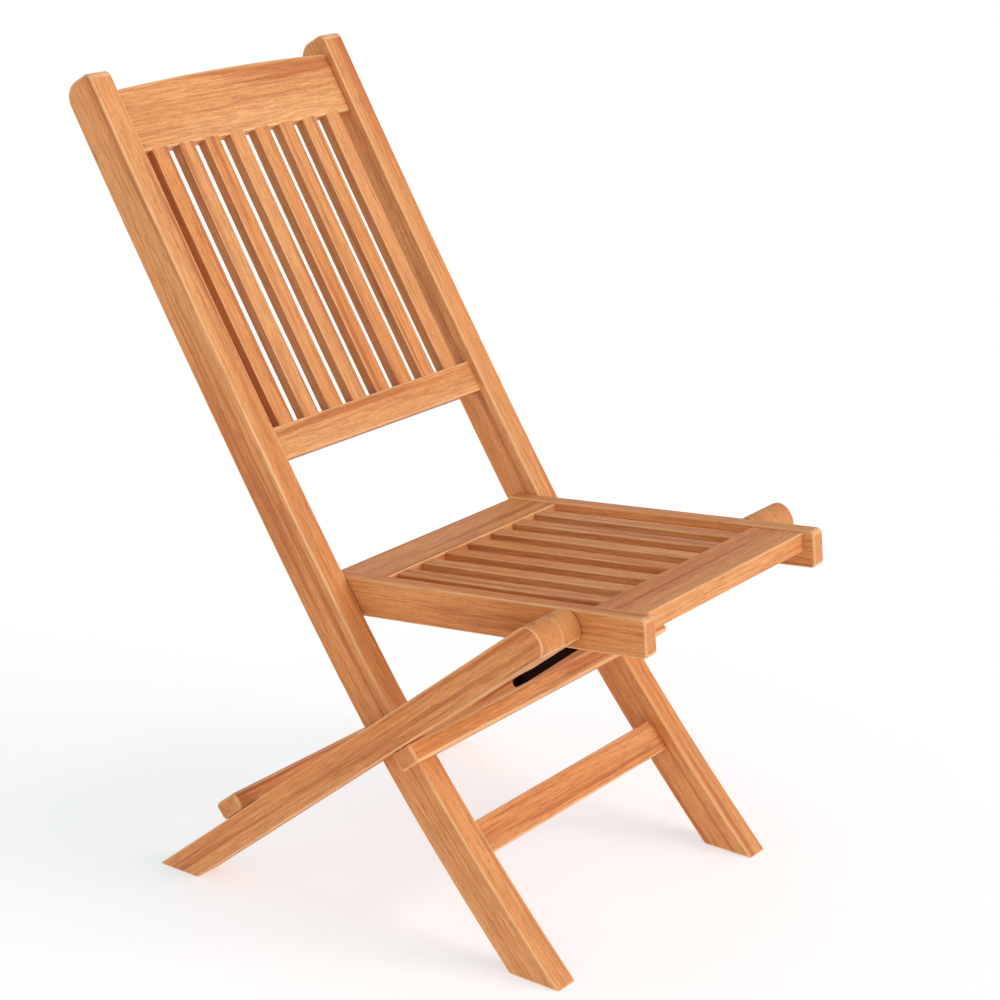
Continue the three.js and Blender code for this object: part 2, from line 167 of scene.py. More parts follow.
# How often each mark comes in a metre (along, across and through the board), how strong it is, and
# between which values of its noise it fades in.
figureForm = {
    "sway": (4.5, 26.0, 26.0),
    "swayDepth": 2.4,
    "ringTilt": (0.75, 0.66),
    "ringDepth": 0.20,
    "ringBand": (0.44, 0.66),
    "ringCut": (0.40, 0.84),
    "broken": (8.0, 290.0, 290.0),
    "streaky": (2.2, 80.0, 80.0),
    "streakBand": (0.52, 0.68),
    "lineBand": (0.34, 0.60),
    "vein": (3.2, 165.0, 165.0),
    "veinWidth": 0.030,
    "drift": (2.2, 17.0, 17.0),
    "driftBand": (0.3, 0.7),
    "fibre": (34.0, 900.0, 900.0),
    "pores": (95.0, 1900.0, 1900.0),
    "poreBand": (0.6, 0.74),
    "ringRelief": -0.25,
    "poreRelief": 0.8,
}


# Growth rings cut along their length, thin grain lines, fine fibre and short open pores.
def makeWoodFigure():
    form = figureForm
    group, given, result = newGroup(
        "woodFigure",
        [("Grain", "NodeSocketVector", None), ("Ring Width", "NodeSocketFloat", 0.007),
         ("Waviness", "NodeSocketFloat", 5.0)],
        [("Rings", "NodeSocketFloat"), ("Streaks", "NodeSocketFloat"), ("Drift", "NodeSocketFloat"),
         ("Fibre", "NodeSocketFloat"), ("Pores", "NodeSocketFloat"), ("Lines", "NodeSocketFloat"),
         ("Height", "NodeSocketFloat")])
    grain = given.outputs["Grain"]
    split = group.nodes.new("ShaderNodeSeparateXYZ")
    group.links.new(grain, split.inputs[0])
    sway = stretchedNoise(group, grain, form["sway"], 2.0, 0.5)
    sideways, through = form["ringTilt"]
    cut = workOut(group, "ADD", workOut(group, "MULTIPLY", split.outputs["Y"], sideways),
                  workOut(group, "MULTIPLY", split.outputs["Z"], through))
    circles = workOut(group, "MULTIPLY", cut, 2 * math.pi)
    turns = workOut(group, "DIVIDE", circles, given.outputs["Ring Width"])
    waviness = workOut(group, "MULTIPLY", given.outputs["Waviness"], form["swayDepth"])
    wavy = workOut(group, "MULTIPLY", sway, waviness)
    wave = workOut(group, "SINE", workOut(group, "ADD", turns, wavy))
    broken = stretchedNoise(group, grain, form["broken"], 4.0, 0.65)
    streaky = stretchedNoise(group, grain, form["streaky"], 3.0, 0.55, 0.3)
    vein = stretchedNoise(group, grain, form["vein"], 3.0, 0.55)
    nearVein = workOut(group, "ABSOLUTE", workOut(group, "SUBTRACT", vein, 0.5))
    thin = spread(group, nearVein, 0.0, form["veinWidth"], 1.0, 0.0)
    lines = workOut(group, "MULTIPLY", thin, spread(group, streaky, *form["lineBand"]))
    presence = spread(group, streaky, *form["ringBand"])
    faint = workOut(group, "MULTIPLY", workOut(group, "MULTIPLY", wave, presence), form["ringDepth"])
    rings = workOut(group, "ADD", faint, broken)
    drift = stretchedNoise(group, grain, form["drift"], 2.0, 0.5)
    fibre = stretchedNoise(group, grain, form["fibre"], 3.0, 0.6)
    pores = stretchedNoise(group, grain, form["pores"], 1.0, 0.5)
    pores = spread(group, pores, *form["poreBand"])
    ringMask = spread(group, rings, *form["ringCut"])
    group.links.new(ringMask, result.inputs["Rings"])
    group.links.new(lines, result.inputs["Lines"])
    group.links.new(spread(group, streaky, *form["streakBand"]), result.inputs["Streaks"])
    group.links.new(spread(group, drift, *form["driftBand"]), result.inputs["Drift"])
    group.links.new(fibre, result.inputs["Fibre"])
    group.links.new(pores, result.inputs["Pores"])
    ridges = workOut(group, "ADD", fibre, workOut(group, "MULTIPLY", ringMask, form["ringRelief"]))
    height = workOut(group, "SUBTRACT", ridges, workOut(group, "MULTIPLY", pores, form["poreRelief"]))
    group.links.new(height, result.inputs["Height"])
    return group


wearAndHighlightForm = {"patches": (14.0, 40.0, 40.0), "band": (0.25, 0.7), "share": (0.45, 1.0)}
scatterForm = {"mottle": (160.0, 160.0, 160.0), "scratches": (240.0, 3800.0, 3800.0), "band": (0.3, 0.7),
               "bump": 0.12, "bumpDeep": 0.1}


# Handled edges: where the rounding shows, paler and rubbed smoother. The paler colour is partly wear and
# partly a painted highlight along the roundings.
def makeEdgeWearAndHighlight():
    group, given, result = newGroup(
        "edgeWearAndHighlight",
        [("Grain", "NodeSocketVector", None), ("Edge", "NodeSocketFloat", 0.0),
         ("Amount", "NodeSocketFloat", 0.5)],
        [("Mask", "NodeSocketFloat")])
    patches = stretchedNoise(group, given.outputs["Grain"], wearAndHighlightForm["patches"], 3.0, 0.6)
    patches = spread(group, patches, *wearAndHighlightForm["band"], *wearAndHighlightForm["share"])
    mask = workOut(group, "MULTIPLY", workOut(group, "MULTIPLY", given.outputs["Edge"], patches),
                   given.outputs["Amount"], clamp=True)
    group.links.new(mask, result.inputs["Mask"])
    return group


# Soft mottling and hairline scratches for metal and plastic.
def makeSurfaceScatter():
    group, given, result = newGroup(
        "surfaceScatter",
        [("Place", "NodeSocketVector", None)],
        [("Mottle", "NodeSocketFloat"), ("Scratches", "NodeSocketFloat")])
    mottle = stretchedNoise(group, given.outputs["Place"], scatterForm["mottle"], 3.0, 0.6)
    scratches = stretchedNoise(group, given.outputs["Place"], scatterForm["scratches"], 2.0, 0.6)
    group.links.new(spread(group, mottle, *scatterForm["band"]), result.inputs["Mottle"])
    group.links.new(scratches, result.inputs["Scratches"])
    return group


woodFigure = makeWoodFigure()
edgeWearAndHighlight = makeEdgeWearAndHighlight()
surfaceScatter = makeSurfaceScatter()


def newFinish(name):
    material = bpy.data.materials.new(name)
    material.use_nodes = True
    return material, material.node_tree, material.node_tree.nodes["Principled BSDF"]


def placeGroup(tree, group, values):
    node = tree.nodes.new("ShaderNodeGroup")
    node.node_tree = group
    for socket, value in values.items():
        node.inputs[socket].default_value = value
    return node


def readAttribute(tree, name, output):
    node = tree.nodes.new("ShaderNodeAttribute")
    node.attribute_name = name
    return node.outputs[output]


def giveBump(tree, shader, height, strength, distance):
    bump = tree.nodes.new("ShaderNodeBump")
    bump.inputs["Strength"].default_value = strength
    bump.inputs["Distance"].default_value = distance
    tree.links.new(height, bump.inputs["Height"])
    tree.links.new(bump.outputs["Normal"], shader.inputs["Normal"])


teakLook = {
    "pale": (0.84, 0.415, 0.165),
    "warm": (0.75, 0.268, 0.072),
    "streak": (0.375, 0.118, 0.035),
    "dark": (0.47, 0.105, 0.024),
    "pore": (0.17, 0.045, 0.013),
    # paler edge colour: partly worn wood, partly a painted highlight on the roundings
    "rubbedAndHighlit": (0.93, 0.60, 0.31),
    # painted shade on the slats' side faces, where shade falls between the slats
    "flankShade": (0.235, 0.060, 0.015),
    "endGrain": (0.60, 0.24, 0.075),
    "flankShadeDepth": 0.36,
    "ringWidth": 0.0055,
    "waviness": 5.0,
    "ringMix": 0.50,
    "streakMix": 0.64,
    "lineMix": 0.62,
    "fibreMix": 0.45,
    "poreMix": 0.60,
    "endMix": 0.6,
    "driftShare": 0.6,
    "rubbedGloss": 0.16,
    "fibreBand": (0.42, 0.66),
    "roughBand": (0.3, 0.7),
    "rough": (0.46, 0.60),
    "edge": 0.62,
    "specular": 0.22,
    "bump": 0.22,
    "bumpDeep": 0.3,
}


def makeWood(name, look, attribute=True):
    material, tree, shader = newFinish(name)
    if attribute:
        shift = tree.nodes.new("ShaderNodeVectorMath")
        shift.operation = "ADD"
        tree.links.new(readAttribute(tree, "grain", "Vector"), shift.inputs[0])
        tree.links.new(readAttribute(tree, "grainShift", "Vector"), shift.inputs[1])
        grain = shift.outputs[0]
    else:
        grain = tree.nodes.new("ShaderNodeTexCoord").outputs["Object"]
    figure = placeGroup(tree, woodFigure, {"Ring Width": look["ringWidth"], "Waviness": look["waviness"]})
    tree.links.new(grain, figure.inputs["Grain"])
    drift = figure.outputs["Drift"]
    if attribute:
        drift = workOut(tree, "ADD", workOut(tree, "MULTIPLY", drift, look["driftShare"]),
                        readAttribute(tree, "tone", "Fac"), clamp=True)
    colour = mixColour(tree, drift, look["pale"], look["warm"])
    rings = workOut(tree, "MULTIPLY", figure.outputs["Rings"], look["ringMix"])
    colour = mixColour(tree, rings, colour, look["streak"])
    streaks = workOut(tree, "MULTIPLY", figure.outputs["Streaks"], look["streakMix"])
    colour = mixColour(tree, streaks, colour, look["dark"])
    lines = workOut(tree, "MULTIPLY", figure.outputs["Lines"], look["lineMix"])
    colour = mixColour(tree, lines, colour, look["streak"])
    fibre = spread(tree, figure.outputs["Fibre"], *look["fibreBand"], 0.0, look["fibreMix"])
    colour = mixColour(tree, fibre, colour, look["streak"])
    pores = workOut(tree, "MULTIPLY", figure.outputs["Pores"], look["poreMix"])
    colour = mixColour(tree, pores, colour, look["pore"])
    roughness = spread(tree, figure.outputs["Fibre"], *look["roughBand"], *look["rough"])
    if attribute:
        ends = workOut(tree, "MULTIPLY", readAttribute(tree, "endGrain", "Fac"), look["endMix"])
        colour = mixColour(tree, ends, colour, look["endGrain"])
        wearAndHighlight = placeGroup(tree, edgeWearAndHighlight, {"Amount": look["edge"]})
        tree.links.new(grain, wearAndHighlight.inputs["Grain"])
        tree.links.new(readAttribute(tree, "edge", "Fac"), wearAndHighlight.inputs["Edge"])
        # Rounded edges turn paler: partly wear, partly a painted highlight.
        colour = mixColour(tree, wearAndHighlight.outputs["Mask"], colour, look["rubbedAndHighlit"])
        polished = workOut(tree, "MULTIPLY", wearAndHighlight.outputs["Mask"], look["rubbedGloss"])
        roughness = workOut(tree, "SUBTRACT", roughness, polished)
        # Slat side faces darkened: painted shade between the slats.
        flankShade = workOut(tree, "MULTIPLY", readAttribute(tree, "flankShade", "Fac"), look["flankShadeDepth"])
        colour = mixColour(tree, flankShade, colour, look["flankShade"])
    tree.links.new(colour, shader.inputs["Base Color"])
    tree.links.new(roughness, shader.inputs["Roughness"])
    shader.inputs["Specular IOR Level"].default_value = look["specular"]
    giveBump(tree, shader, figure.outputs["Height"], look["bump"], look["bumpDeep"] * mm)
    return material


def makeHard(name, pale, dark, roughLow, roughHigh, metallic):
    material, tree, shader = newFinish(name)
    scatter = placeGroup(tree, surfaceScatter, {})
    tree.links.new(tree.nodes.new("ShaderNodeTexCoord").outputs["Object"], scatter.inputs["Place"])
    colour = mixColour(tree, scatter.outputs["Mottle"], pale, dark)
    tree.links.new(colour, shader.inputs["Base Color"])
    roughness = spread(tree, scatter.outputs["Scratches"], *scatterForm["band"], roughLow, roughHigh)
    tree.links.new(roughness, shader.inputs["Roughness"])
    shader.inputs["Metallic"].default_value = metallic
    giveBump(tree, shader, scatter.outputs["Scratches"], scatterForm["bump"], scatterForm["bumpDeep"] * mm)
    return material


beechLook = dict(
    teakLook, pale=(0.62, 0.42, 0.25), warm=(0.54, 0.35, 0.19), streak=(0.40, 0.24, 0.12),
    dark=(0.38, 0.22, 0.11), pore=(0.30, 0.17, 0.09), ringWidth=0.003)
# The groove's walls and floor are painted near black: painted shade in the recess.
grooveShadeLook = dict(
    teakLook, pale=(0.040, 0.018, 0.011), warm=(0.030, 0.013, 0.008), streak=(0.018, 0.008, 0.005),
    dark=(0.014, 0.006, 0.004), pore=(0.010, 0.005, 0.003), rubbedAndHighlit=(0.06, 0.028, 0.016),
    endGrain=(0.03, 0.013, 0.008), edge=0.2, specular=0.04)
teak = makeWood("teak", teakLook)
paintedGrooveShade = makeWood("paintedGrooveShade", grooveShadeLook)
finishes = {
    "beech": makeWood("beech", beechLook, attribute=False),
    "steel": makeHard("satinSteel", (0.62, 0.62, 0.64), (0.48, 0.48, 0.50), 0.28, 0.5, 1.0),
    "brass": makeHard("satinBrass", (0.78, 0.57, 0.27), (0.60, 0.42, 0.18), 0.3, 0.5, 1.0),
    "nylon": makeHard("whiteNylon", (0.80, 0.79, 0.74), (0.70, 0.69, 0.64), 0.5, 0.7, 0.0),
}
print("finishes made")


dice = random.Random(27)
# How warm and dark each board is, from 0 to 1.
boardTones = {
    "crest_rail": 0.0, "lumbar_rail": 0.02, "front_stretcher": 0.22, "stile": 0.24,
    "seat_rail": 0.36, "seat_rear_rail": 0.36, "seat_front_rail": 0.34,
    "rear_leg": 0.34, "spacer_block": 0.30, "stop_rail": 0.28, "rear_bar": 0.30,
}
slatTones = (0.12, 0.5)
toneStray = 0.04
shiftReach = (9, 3, 3)  # how far the grain pattern may be moved, in metres
endSlope = 0.7  # a face this square to the grain is end grain
# Faces this square to the row take the painted shade between the slats.
flankSlope = 0.8  # a face this square to the row is a slat's flank
softenForm = {"segments": 4, "slatSteps": 3, "fromAngle": 32, "sharpAngle": 50}


def asObject(name, mesh):
    piece = bpy.data.objects.new(name, mesh)
    scene.collection.objects.link(piece)
    return piece


# The mesh with its modifiers worked in.
def settle(piece):
    bpy.context.view_layer.update()
    made = bpy.data.meshes.new_from_object(piece.evaluated_get(bpy.context.evaluated_depsgraph_get()))
    old = piece.data
    piece.modifiers.clear()
    piece.data = made
    bpy.data.meshes.remove(old)
    return made


# Opens the mesh for one change and closes it again.
def reshape(mesh, change):
    shape = bmesh.new()
    shape.from_mesh(mesh)
    change(shape)
    shape.to_mesh(mesh)
    shape.free()


def turnOutwards(shape):
    bmesh.ops.recalc_face_normals(shape, faces=shape.faces)


# Compact triangles on the many-sided flats, so that the grain runs true over a bend.
def splitFlats(shape):
    flats = [face for face in shape.faces if len(face.verts) > 4]
    bmesh.ops.triangulate(shape, faces=flats, ngon_method="BEAUTY")


def prism(name, outline, low, high):
    shape = bmesh.new()
    ring = [[shape.verts.new((a, b, c)) for a, b in outline] for c in (low, high)]
    shape.faces.new(ring[0])
    shape.faces.new(list(reversed(ring[1])))
    for i in range(len(outline)):
        j = (i + 1) % len(outline)
        shape.faces.new((ring[0][i], ring[0][j], ring[1][j], ring[1][i]))
    bmesh.ops.recalc_face_normals(shape, faces=shape.faces)
    mesh = bpy.data.meshes.new(name)
    shape.to_mesh(mesh)
    shape.free()
    return asObject(name, mesh)


def roundedOutline(corners, radii, steps=6):
    out = []
    count = len(corners)
    for i, radius in enumerate(radii):
        here, before, after = (Vector(corners[k % count]) for k in (i, i - 1, i + 1))
        if not radius:
            out.append(tuple(here))
            continue
        toBefore, toAfter = (before - here).normalized(), (after - here).normalized()
        half = math.acos(max(-1, min(1, toBefore.dot(toAfter)))) / 2
        centre = here + (toBefore + toAfter).normalized() * radius / math.sin(half)
        start = here + toBefore * radius / math.tan(half) - centre
        end = here + toAfter * radius / math.tan(half) - centre
        sweep = math.atan2(start.x * end.y - start.y * end.x, start.dot(end))
        for k in range(steps + 1):
            spoke = Matrix.Rotation(sweep * k / steps, 2) @ start
            out.append(tuple(centre + spoke))
    return out


# A smooth run through the given points, without its last one.
def smoothRun(points, steps):
    out = []
    for i in range(len(points) - 1):
        p = [Vector(points[max(0, min(len(points) - 1, k))]) for k in (i - 1, i, i + 1, i + 2)]
        for k in range(steps):
            t = k / steps
            bend = 2 * p[0] - 5 * p[1] + 4 * p[2] - p[3]
            twist = 3 * p[1] - p[0] - 3 * p[2] + p[3]
            out.append(tuple((2 * p[1] + (p[2] - p[0]) * t + bend * t ** 2 + twist * t ** 3) / 2))
    return out


def putAttribute(mesh, name, kind, domain, values):
    field = "vector" if kind == "FLOAT_VECTOR" else "value"
    made = mesh.attributes.get(name) or mesh.attributes.new(name, kind, domain)
    made.data.foreach_set(field, np.asarray(values, np.float32).ravel())


# Wear and the painted edge highlight lie on the roundings only: a vertex of any face wider than this, in
# mm, belongs to a flat.
stripWidth = 1.7


# Marks each vertex 1 inside a rounding and 0 on a flat. `unit` is the mesh's own millimetre.
def markEdges(mesh, unit=1.0):
    worn = np.ones(len(mesh.vertices))
    for face in mesh.polygons:
        corners = [mesh.vertices[v].co for v in face.vertices]
        around = sum((end - start).length for start, end in zip(corners, corners[1:] + corners[:1]))
        if 2 * face.area / around > stripWidth * unit:
            worn[list(face.vertices)] = 0
    putAttribute(mesh, "edge", "FLOAT", "POINT", worn)


# Even shading: flats stay flat and only the roundings turn.
def evenShading(piece):
    piece.data.shade_smooth()
    piece.data.set_sharp_from_angle(angle=math.radians(softenForm["sharpAngle"]))
    weighted = piece.modifiers.new("weighted", "WEIGHTED_NORMAL")
    weighted.keep_sharp = True
    settle(piece)


def finishPiece(piece, body, nodes, inGroove=None):
    piece.data.materials.clear()
    piece.data.materials.append(teak)
    # Faces inside the groove take the near-black finish, which is painted shade.
    if inGroove:
        piece.data.materials.append(paintedGrooveShade)
        for face in piece.data.polygons:
            if inGroove(face.center):
                face.material_index = 1
    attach(piece, body)
    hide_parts(*nodes)
    return piece


# One stick: an outline (a, b) given depth c, softened, grained along `run` and put in place.
def stick(node, body, outline, depth, rounding, place, run=0, cutters=(), grainOf=None, inGroove=None):
    piece = prism(f"{node}_wood", outline, *depth)
    soften = piece.modifiers.new("soften", "BEVEL")
    soften.width = rounding
    soften.segments = softenForm["segments"]
    soften.limit_method = "ANGLE"
    soften.angle_limit = math.radians(softenForm["fromAngle"])
    mesh = settle(piece)
    for cutter in cutters:
        cut = piece.modifiers.new("cut", "BOOLEAN")
        cut.object = cutter
        cut.solver = "EXACT"
        mesh = settle(piece)
    markEdges(mesh)
    reshape(mesh, splitFlats)
    local = np.array([v.co for v in mesh.vertices], float)
    if grainOf:
        grain, tangents = grainOf(local)
        ends = [abs(f.normal.dot(Vector(tangents[f.vertices[0]]))) > endSlope for f in mesh.polygons]
    else:
        grain = local[:, [run, (run + 1) % 3, (run + 2) % 3]]
        ends = [abs(f.normal[run]) > endSlope for f in mesh.polygons]
    putAttribute(mesh, "grain", "FLOAT_VECTOR", "POINT", grain * mm)
    putAttribute(mesh, "endGrain", "FLOAT", "FACE", ends)
    shift = [dice.uniform(0, reach) for reach in shiftReach]
    putAttribute(mesh, "grainShift", "FLOAT_VECTOR", "POINT", [shift] * len(mesh.vertices))
    board = node.removesuffix("_left").removesuffix("_right")
    tone = boardTones[board] + dice.uniform(-toneStray, toneStray)
    putAttribute(mesh, "tone", "FLOAT", "POINT", [tone] * len(mesh.vertices))
    for v in mesh.vertices:
        v.co = Vector(place(*v.co)) * mm
    mesh.update()
    reshape(mesh, turnOutwards)
    evenShading(piece)
    return finishPiece(piece, body, [node], inGroove)


def sidePlace(plane, side=1):
    return lambda a, b, c: (side * c, *plane(a, b))


stileForm = {
    "depth": 46.3, "height": 890.0, "topFront": 9.0, "topRear": 20.0, "topLift": 0.372, "topRoom": 26.0,
    "round": 2.8, "step": 22.0, "firstStep": 1.6, "grainFrom": -30, "grainTo": 930, "grainSteps": 481,
}


def stileOutline():
    depth = stileForm["depth"]
    top = stileForm["height"] + stileForm["topLift"] * stileForm["topFront"]
    step = stileForm["step"]
    heights = np.arange(step * stileForm["firstStep"], top - stileForm["topRoom"], step)
    rear = [stileFrame(z)(depth, 0) for z in heights]
    front = [(frontY(z), z) for z in heights]
    crown = stileFrame(top)
    foot = stileCurve["footY"]
    heel = foot + depth / math.cos(leanAt(0))
    corners = [(foot, 0), (heel, 0), *rear, crown(depth, 0), crown(0, 0), *front[::-1]]
    radii = [0.0] * len(corners)
    radii[len(rear) + 2] = stileForm["topRear"]
    radii[len(rear) + 3] = stileForm["topFront"]
    return roundedOutline(corners, radii, 8)


# Grain that follows the stile's bend.
def stileGrain(local):
    heights = np.linspace(stileForm["grainFrom"], stileForm["grainTo"], stileForm["grainSteps"])
    edge = np.array([(frontY(z), z) for z in heights])
    run = np.concatenate([[0], np.cumsum(np.linalg.norm(np.diff(edge, axis=0), axis=1))])
    leans = np.array([leanAt(z) for z in heights])
    grain, tangents = [], []
    for y, z, x in local:
        away = (y - edge[:, 0]) * np.sin(leans) + (z - edge[:, 1]) * np.cos(leans)
        i = int(np.argmin(np.abs(away)))
        back = (y - edge[i, 0]) * math.cos(leans[i]) - (z - edge[i, 1]) * math.sin(leans[i])
        grain.append((run[i] + away[i], back, x))
        tangents.append((math.sin(leans[i]), math.cos(leans[i]), 0))
    return np.array(grain), tangents


for side, sign in (("left", 1), ("right", -1)):
    stick(f"stile_{side}", "back_frame", stileOutline(), (across["stileInner"], across["stileOuter"]),
          stileForm["round"], lambda y, z, x, sign=sign: (sign * x, y, z), grainOf=stileGrain)

railForms = {
    "crest_rail": {"topZ": 874.0, "high": 73.8, "arch": 4.7, "thick": 20.0, "setback": 9.0},
    "lumbar_rail": {"topZ": 531.4, "high": 37.8, "arch": 0.0, "thick": 20.0, "setback": 7.8},
    "front_stretcher": {"topZ": 146.6, "high": 39.0, "arch": 0.0, "thick": 21.0, "setback": 15.1},
}
railRound = 2.6
archSteps = 24
sunk = 4.0  # how far a rail or slat goes into its neighbour

for name, form in railForms.items():
    half = across["stileInner"] + sunk
    outline = [(-half, -form["high"]), (half, -form["high"])]
    steps = archSteps if form["arch"] else 1
    for i in range(steps + 1):
        x = half * (1 - 2 * i / steps)
        outline.append((x, form["arch"] * (1 - (x / half) ** 2)))
    plane = stileFrame(form["topZ"])
    stick(name, "back_frame", outline, (form["setback"], form["setback"] + form["thick"]), railRound,
          lambda x, up, back, plane=plane: (x, *plane(back, up)))
print("back frame made")


seatForm = {"long": 413.2, "high": 42.4, "corner": 6.0, "round": 2.4, "crossRound": 1.8}
sideOutline = roundedOutline(
    [(0, -seatForm["high"]), (0, 0), (seatForm["long"], 0), (seatForm["long"], -seatForm["high"])],
    [0, 0, seatForm["corner"], seatForm["corner"]])
for side, sign in (("left", 1), ("right", -1)):
    stick(f"seat_rail_{side}", "seat", sideOutline, (across["seatInner"], across["seatOuter"]),
          seatForm["round"], sidePlace(seatFrame, sign))

crossForms = {
    "seat_rear_rail": {"from": 2.0, "to": 69.0, "drop": 2.5, "thick": 21.0},
    "seat_front_rail": {"from": 336.0, "to": 400.0, "drop": 2.5, "thick": 21.0},
}
for name, form in crossForms.items():
    half = across["seatInner"] + sunk
    low, high = -form["drop"] - form["thick"], -form["drop"]
    outline = [(form["from"], low), (form["from"], high), (form["to"], high), (form["to"], low)]
    stick(name, "seat", outline, (-half, half), seatForm["crossRound"], sidePlace(seatFrame), run=2)
print("seat frame made")


legForm = {"long": 661.5, "deep": 36.7, "round": 3.4, "blockFrom": 578.0, "blockRound": 1.1,
           "washerGap": 1.1, "joint": 0.3}
grooveForm = {"low": 206.5, "high": 388.0, "radius": 6.0, "deep": 14.0, "proud": 5.0, "slack": 0.3,
              "steps": 16}
legEnd = [(-14, 0), (-7.5, -2.2), (-2.5, -7.5), (0, -15), (-0.4, -24), (-3.6, -31.5), (-9, -36.7)]
crown = smoothRun([(legForm["long"] + a, b) for a, b in legEnd], 3)
crown.append((legForm["long"] + legEnd[-1][0], legEnd[-1][1]))
footRun = legForm["deep"] / math.tan(math.radians(legLie["slope"]))
legOutline = [(0, 0), *crown, (footRun, -legForm["deep"])]
blockOutline = [(legForm["blockFrom"], 0), *crown, (legForm["blockFrom"], -legForm["deep"])]


def grooveCutter():
    middle, radius = -legForm["deep"] / 2, grooveForm["radius"]
    outline = []
    for centre, start in ((grooveForm["high"], -90), (grooveForm["low"], 90)):
        for k in range(grooveForm["steps"] + 1):
            turn = math.radians(start + 180 * k / grooveForm["steps"])
            outline.append((centre + radius * math.cos(turn), middle + radius * math.sin(turn)))
    face = across["legInner"]
    return prism("grooveCutter", outline, face - grooveForm["proud"], face + grooveForm["deep"])


# True for a face of the groove's walls and floor, below the leg's inner face; these faces get the painted
# groove shade.
def inGroove(centre):
    below = abs(centre.x) / mm - across["legInner"]
    slope = math.radians(legLie["slope"])
    y, z = centre.y / mm - legLie["tipY"], centre.z / mm
    along = z * math.sin(slope) - y * math.cos(slope)
    up = y * math.sin(slope) + z * math.cos(slope) + legForm["deep"] / 2
    slack = grooveForm["slack"]
    reach = grooveForm["radius"] + slack
    return slack < below < grooveForm["deep"] + slack and abs(up) < reach and (
        grooveForm["low"] - reach < along < grooveForm["high"] + reach)


blockDepth = (across["seatOuter"] + legForm["washerGap"], across["legInner"] - legForm["joint"])
cutter = grooveCutter()
for side, sign in (("left", 1), ("right", -1)):
    stick(f"rear_leg_{side}", "legs", legOutline, (across["legInner"], across["legOuter"]),
          legForm["round"], sidePlace(legFrame, sign), cutters=[cutter], inGroove=inGroove)
    stick(f"spacer_block_{side}", "legs", blockOutline, blockDepth, legForm["blockRound"],
          sidePlace(legFrame, sign))
bpy.data.objects.remove(cutter)

barForms = {
    "stop_rail": {"from": 402.0, "long": 28.6, "top": -37.0, "thick": 22.6, "inset": 6.0},
    "rear_bar": {"from": 127.8, "long": 35.2, "top": 21.1, "thick": 20.8, "inset": 3.2},
}
barRound = {"corner": 4.2, "end": 3.4}
for name, form in barForms.items():
    half = across["legOuter"] - form["inset"]
    low, high = form["from"], form["from"] + form["long"]
    bottom = form["top"] - form["thick"]
    corners = [(low, bottom), (low, form["top"]), (high, form["top"]), (high, bottom)]
    outline = roundedOutline(corners, [barRound["corner"]] * 4)
    stick(name, "legs", outline, (-half, half), barRound["end"], sidePlace(legFrame), run=2)
print("legs made")


slatRows = {
    "back_slats": {"body": "back_frame", "count": 8, "pitch": 42.0, "wide": 24.2, "thick": 13.6,
                   "round": 1.9, "setback": 9.4, "seed": 4},
    "seat_slats": {"body": "seat", "count": 7, "pitch": 42.4, "wide": 21.4, "thick": 16.0,
                   "round": 1.8, "setback": 3.7, "seed": 9},
}


